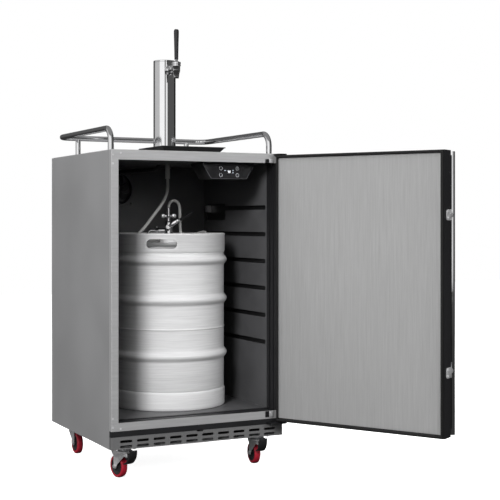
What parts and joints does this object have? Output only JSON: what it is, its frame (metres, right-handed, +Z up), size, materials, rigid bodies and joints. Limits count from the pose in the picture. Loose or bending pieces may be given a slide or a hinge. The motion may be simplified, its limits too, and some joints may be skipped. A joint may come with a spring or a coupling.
{
  "type": "kegerator",
  "caption": "Free-standing steel keg cooler on casters with an open insulated door, a half-barrel keg inside, a chrome draft tower with a tap, a drip tray and a guard rail.",
  "frame": {"origin": "centre of the cabinet's footprint on the floor", "axes": "+Z up; the cabinet's front faces -Y; +X is to the right for someone facing the front"},
  "size_m": [0.9658, 1.1601, 1.4775],
  "materials": {
    "painted_grey": "satin grey sheet steel",
    "frame_steel": "brushed steel front frame",
    "door_steel": "brushed steel inner panel",
    "keg_steel": "satin stainless steel",
    "black_metal": "black painted steel",
    "chrome": "polished chrome",
    "zinc": "bright zinc plate",
    "black_plastic": "matt black",
    "gloss_black": "glossy black",
    "liner_grey": "dark grey moulded liner",
    "foam": "rigid insulation foam",
    "gasket_rubber": "soft black gasket",
    "caster_wheel": "red tread on a dark hub",
    "white_metal": "galvanised back sheet",
    "display": "dark display window with lamps",
    "tube_pale": "pale flexible tube",
    "aluminium": "bare aluminium"
  },
  "bodies": {
    "cabinet": {"outer_wrap": "painted_grey", "front_frame": "frame_steel", "kick_grille": "frame_steel", "trim_strip": "black_plastic", "mouth_trim": "black_plastic", "inner_liner": "liner_grey", "insulation_foam": "foam", "base_pan": "white_metal", "rear_panels": "white_metal", "cord_gland": "black_plastic", "compressor": "black_metal", "condenser": "black_metal", "fan_frame": "black_plastic", "tower_air_tube": "black_plastic", "probe_clip": "aluminium", "control_housing": "black_plastic", "control_panel": "gloss_black", "display_and_lamps": "display", "guard_rail": "chrome", "draft_tower": "chrome", "faucet": "chrome", "hinge_brackets": "black_metal", "frame_screws": "zinc", "tower_beer_line": "tube_pale", "caster_mounts": "zinc"},
    "door": {"door_shell": "black_plastic", "door_inner_panel": "door_steel", "door_core": "foam", "door_gasket": "gasket_rubber", "door_handle": "chrome", "handle_brackets": "zinc"},
    "keg": {"keg_shell": "keg_steel", "keg_chimes": "keg_steel", "keg_spear": "keg_steel", "coupler_body": "chrome", "coupler_nut": "chrome", "beer_line": "tube_pale"},
    "coupler_lever": {"coupler_lever": "black_metal"},
    "coupler_probe": {"coupler_probe": "chrome"},
    "relief_valve": {"relief_valve": "chrome"},
    "drip_tray": {"drip_tray": "black_plastic"},
    "drip_grille": {"drip_grille": "black_metal"},
    "tap_lever": {"faucet_lever": "chrome", "tap_handle": "gloss_black"},
    "faucet_shaft": {"faucet_shaft": "chrome"},
    "evaporator_fan": {"evaporator_fan": "black_plastic"},
    "button_1": {"button_1": "liner_grey"},
    "button_2": {"button_2": "liner_grey"},
    "button_3": {"button_3": "liner_grey"},
    "button_4": {"button_4": "liner_grey"},
    "caster_front_left": {"caster_fork_front_left": "zinc"},
    "wheel_front_left": {"caster_wheel_front_left": "caster_wheel"},
    "caster_front_right": {"caster_fork_front_right": "zinc"},
    "wheel_front_right": {"caster_wheel_front_right": "caster_wheel"},
    "caster_rear_left": {"caster_fork_rear_left": "zinc"},
    "wheel_rear_left": {"caster_wheel_rear_left": "caster_wheel"},
    "caster_rear_right": {"caster_fork_rear_right": "zinc"},
    "wheel_rear_right": {"caster_wheel_rear_right": "caster_wheel"},
    "brake_front_left": {"brake_pedal_front_left": "black_plastic"},
    "brake_front_right": {"brake_pedal_front_right": "black_plastic"}
  },
  "joints": [
    {"name": "door_hinge", "type": "hinge", "parent": "cabinet", "child": "door", "pos_m": [0.2905, -0.3302, 0.6], "axis": [0, 0, 1], "range_deg": [-120, 0]},
    {"name": "keg_slide", "type": "slide", "parent": "cabinet", "child": "keg", "axis": [0, -1, 0], "range_m": [0, 0.56], "deforming": ["beer_line"]},
    {"name": "coupler_lever_hinge", "type": "hinge", "parent": "keg", "child": "coupler_lever", "pos_m": [0.0165, -0.0077, 0.8054], "axis": [0.4532, 0.8914, 0], "range_deg": [0, 45]},
    {"name": "coupler_probe_slide", "type": "slide", "parent": "keg", "child": "coupler_probe", "axis": [0, 0, -1], "range_m": [0, 0.012]},
    {"name": "relief_valve_pull", "type": "slide", "parent": "keg", "child": "relief_valve", "axis": [0, 0, 1], "range_m": [0, 0.0025], "stiffness_N_per_m": 400},
    {"name": "drip_tray_lift", "type": "slide", "parent": "cabinet", "child": "drip_tray", "axis": [0, 0, 1], "range_m": [0, 0.06]},
    {"name": "drip_grille_lift", "type": "slide", "parent": "drip_tray", "child": "drip_grille", "axis": [0, 0, 1], "range_m": [0, 0.04]},
    {"name": "tap_hinge", "type": "hinge", "parent": "cabinet", "child": "tap_lever", "pos_m": [0, -0.114, 1.362], "axis": [1, 0, 0], "range_deg": [0, 38]},
    {"name": "faucet_shaft_slide", "type": "slide", "parent": "cabinet", "child": "faucet_shaft", "axis": [0, 1, 0], "range_m": [0, 0.0086]},
    {"name": "evaporator_fan_spin", "type": "hinge", "parent": "cabinet", "child": "evaporator_fan", "pos_m": [-0.083, 0.245, 0.941], "axis": [0, 1, 0], "continuous": true},
    {"name": "button_1_press", "type": "slide", "parent": "cabinet", "child": "button_1", "axis": [0, 1, 0], "range_m": [0, 0.001], "stiffness_N_per_m": 600},
    {"name": "button_2_press", "type": "slide", "parent": "cabinet", "child": "button_2", "axis": [0, 1, 0], "range_m": [0, 0.001], "stiffness_N_per_m": 600},
    {"name": "button_3_press", "type": "slide", "parent": "cabinet", "child": "button_3", "axis": [0, 1, 0], "range_m": [0, 0.001], "stiffness_N_per_m": 600},
    {"name": "button_4_press", "type": "slide", "parent": "cabinet", "child": "button_4", "axis": [0, 1, 0], "range_m": [0, 0.001], "stiffness_N_per_m": 600},
    {"name": "caster_swivel_front_left", "type": "hinge", "parent": "cabinet", "child": "caster_front_left", "pos_m": [-0.2395, -0.2535, 0.09], "axis": [0, 0, 1], "continuous": true},
    {"name": "wheel_spin_front_left", "type": "hinge", "parent": "caster_front_left", "child": "wheel_front_left", "pos_m": [-0.24737, -0.2194, 0.0375], "axis": [0.9744, 0.225, 0], "continuous": true},
    {"name": "caster_swivel_front_right", "type": "hinge", "parent": "cabinet", "child": "caster_front_right", "pos_m": [0.2395, -0.2535, 0.09], "axis": [0, 0, 1], "continuous": true},
    {"name": "wheel_spin_front_right", "type": "hinge", "parent": "caster_front_right", "child": "wheel_front_right", "pos_m": [0.24225, -0.21861, 0.0375], "axis": [0.9969, -0.0785, 0], "continuous": true},
    {"name": "caster_swivel_rear_left", "type": "hinge", "parent": "cabinet", "child": "caster_rear_left", "pos_m": [-0.2395, 0.2535, 0.09], "axis": [0, 0, 1], "continuous": true},
    {"name": "wheel_spin_rear_left", "type": "hinge", "parent": "caster_rear_left", "child": "wheel_rear_left", "pos_m": [-0.2395, 0.2185, 0.0375], "axis": [1, 0, 0], "continuous": true},
    {"name": "caster_swivel_rear_right", "type": "hinge", "parent": "cabinet", "child": "caster_rear_right", "pos_m": [0.2395, 0.2535, 0.09], "axis": [0, 0, 1], "continuous": true},
    {"name": "wheel_spin_rear_right", "type": "hinge", "parent": "caster_rear_right", "child": "wheel_rear_right", "pos_m": [0.2395, 0.2185, 0.0375], "axis": [1, 0, 0], "continuous": true},
    {"name": "brake_pedal_front_left", "type": "hinge", "parent": "caster_front_left", "child": "brake_front_left", "pos_m": [-0.23343, -0.27981, 0.0795], "axis": [0.9744, 0.225, 0], "range_deg": [0, 14]},
    {"name": "brake_pedal_front_right", "type": "hinge", "parent": "caster_front_right", "child": "brake_front_right", "pos_m": [0.23738, -0.28042, 0.0795], "axis": [0.9969, -0.0785, 0], "range_deg": [0, 14]}
  ],
  "couplings": [
    {"joint": "coupler_lever_hinge", "follows": "coupler_probe_slide", "rad_per_m": 65.4},
    {"joint": "faucet_shaft_slide", "follows": "tap_hinge", "m_per_rad": 0.0125}
  ]
}
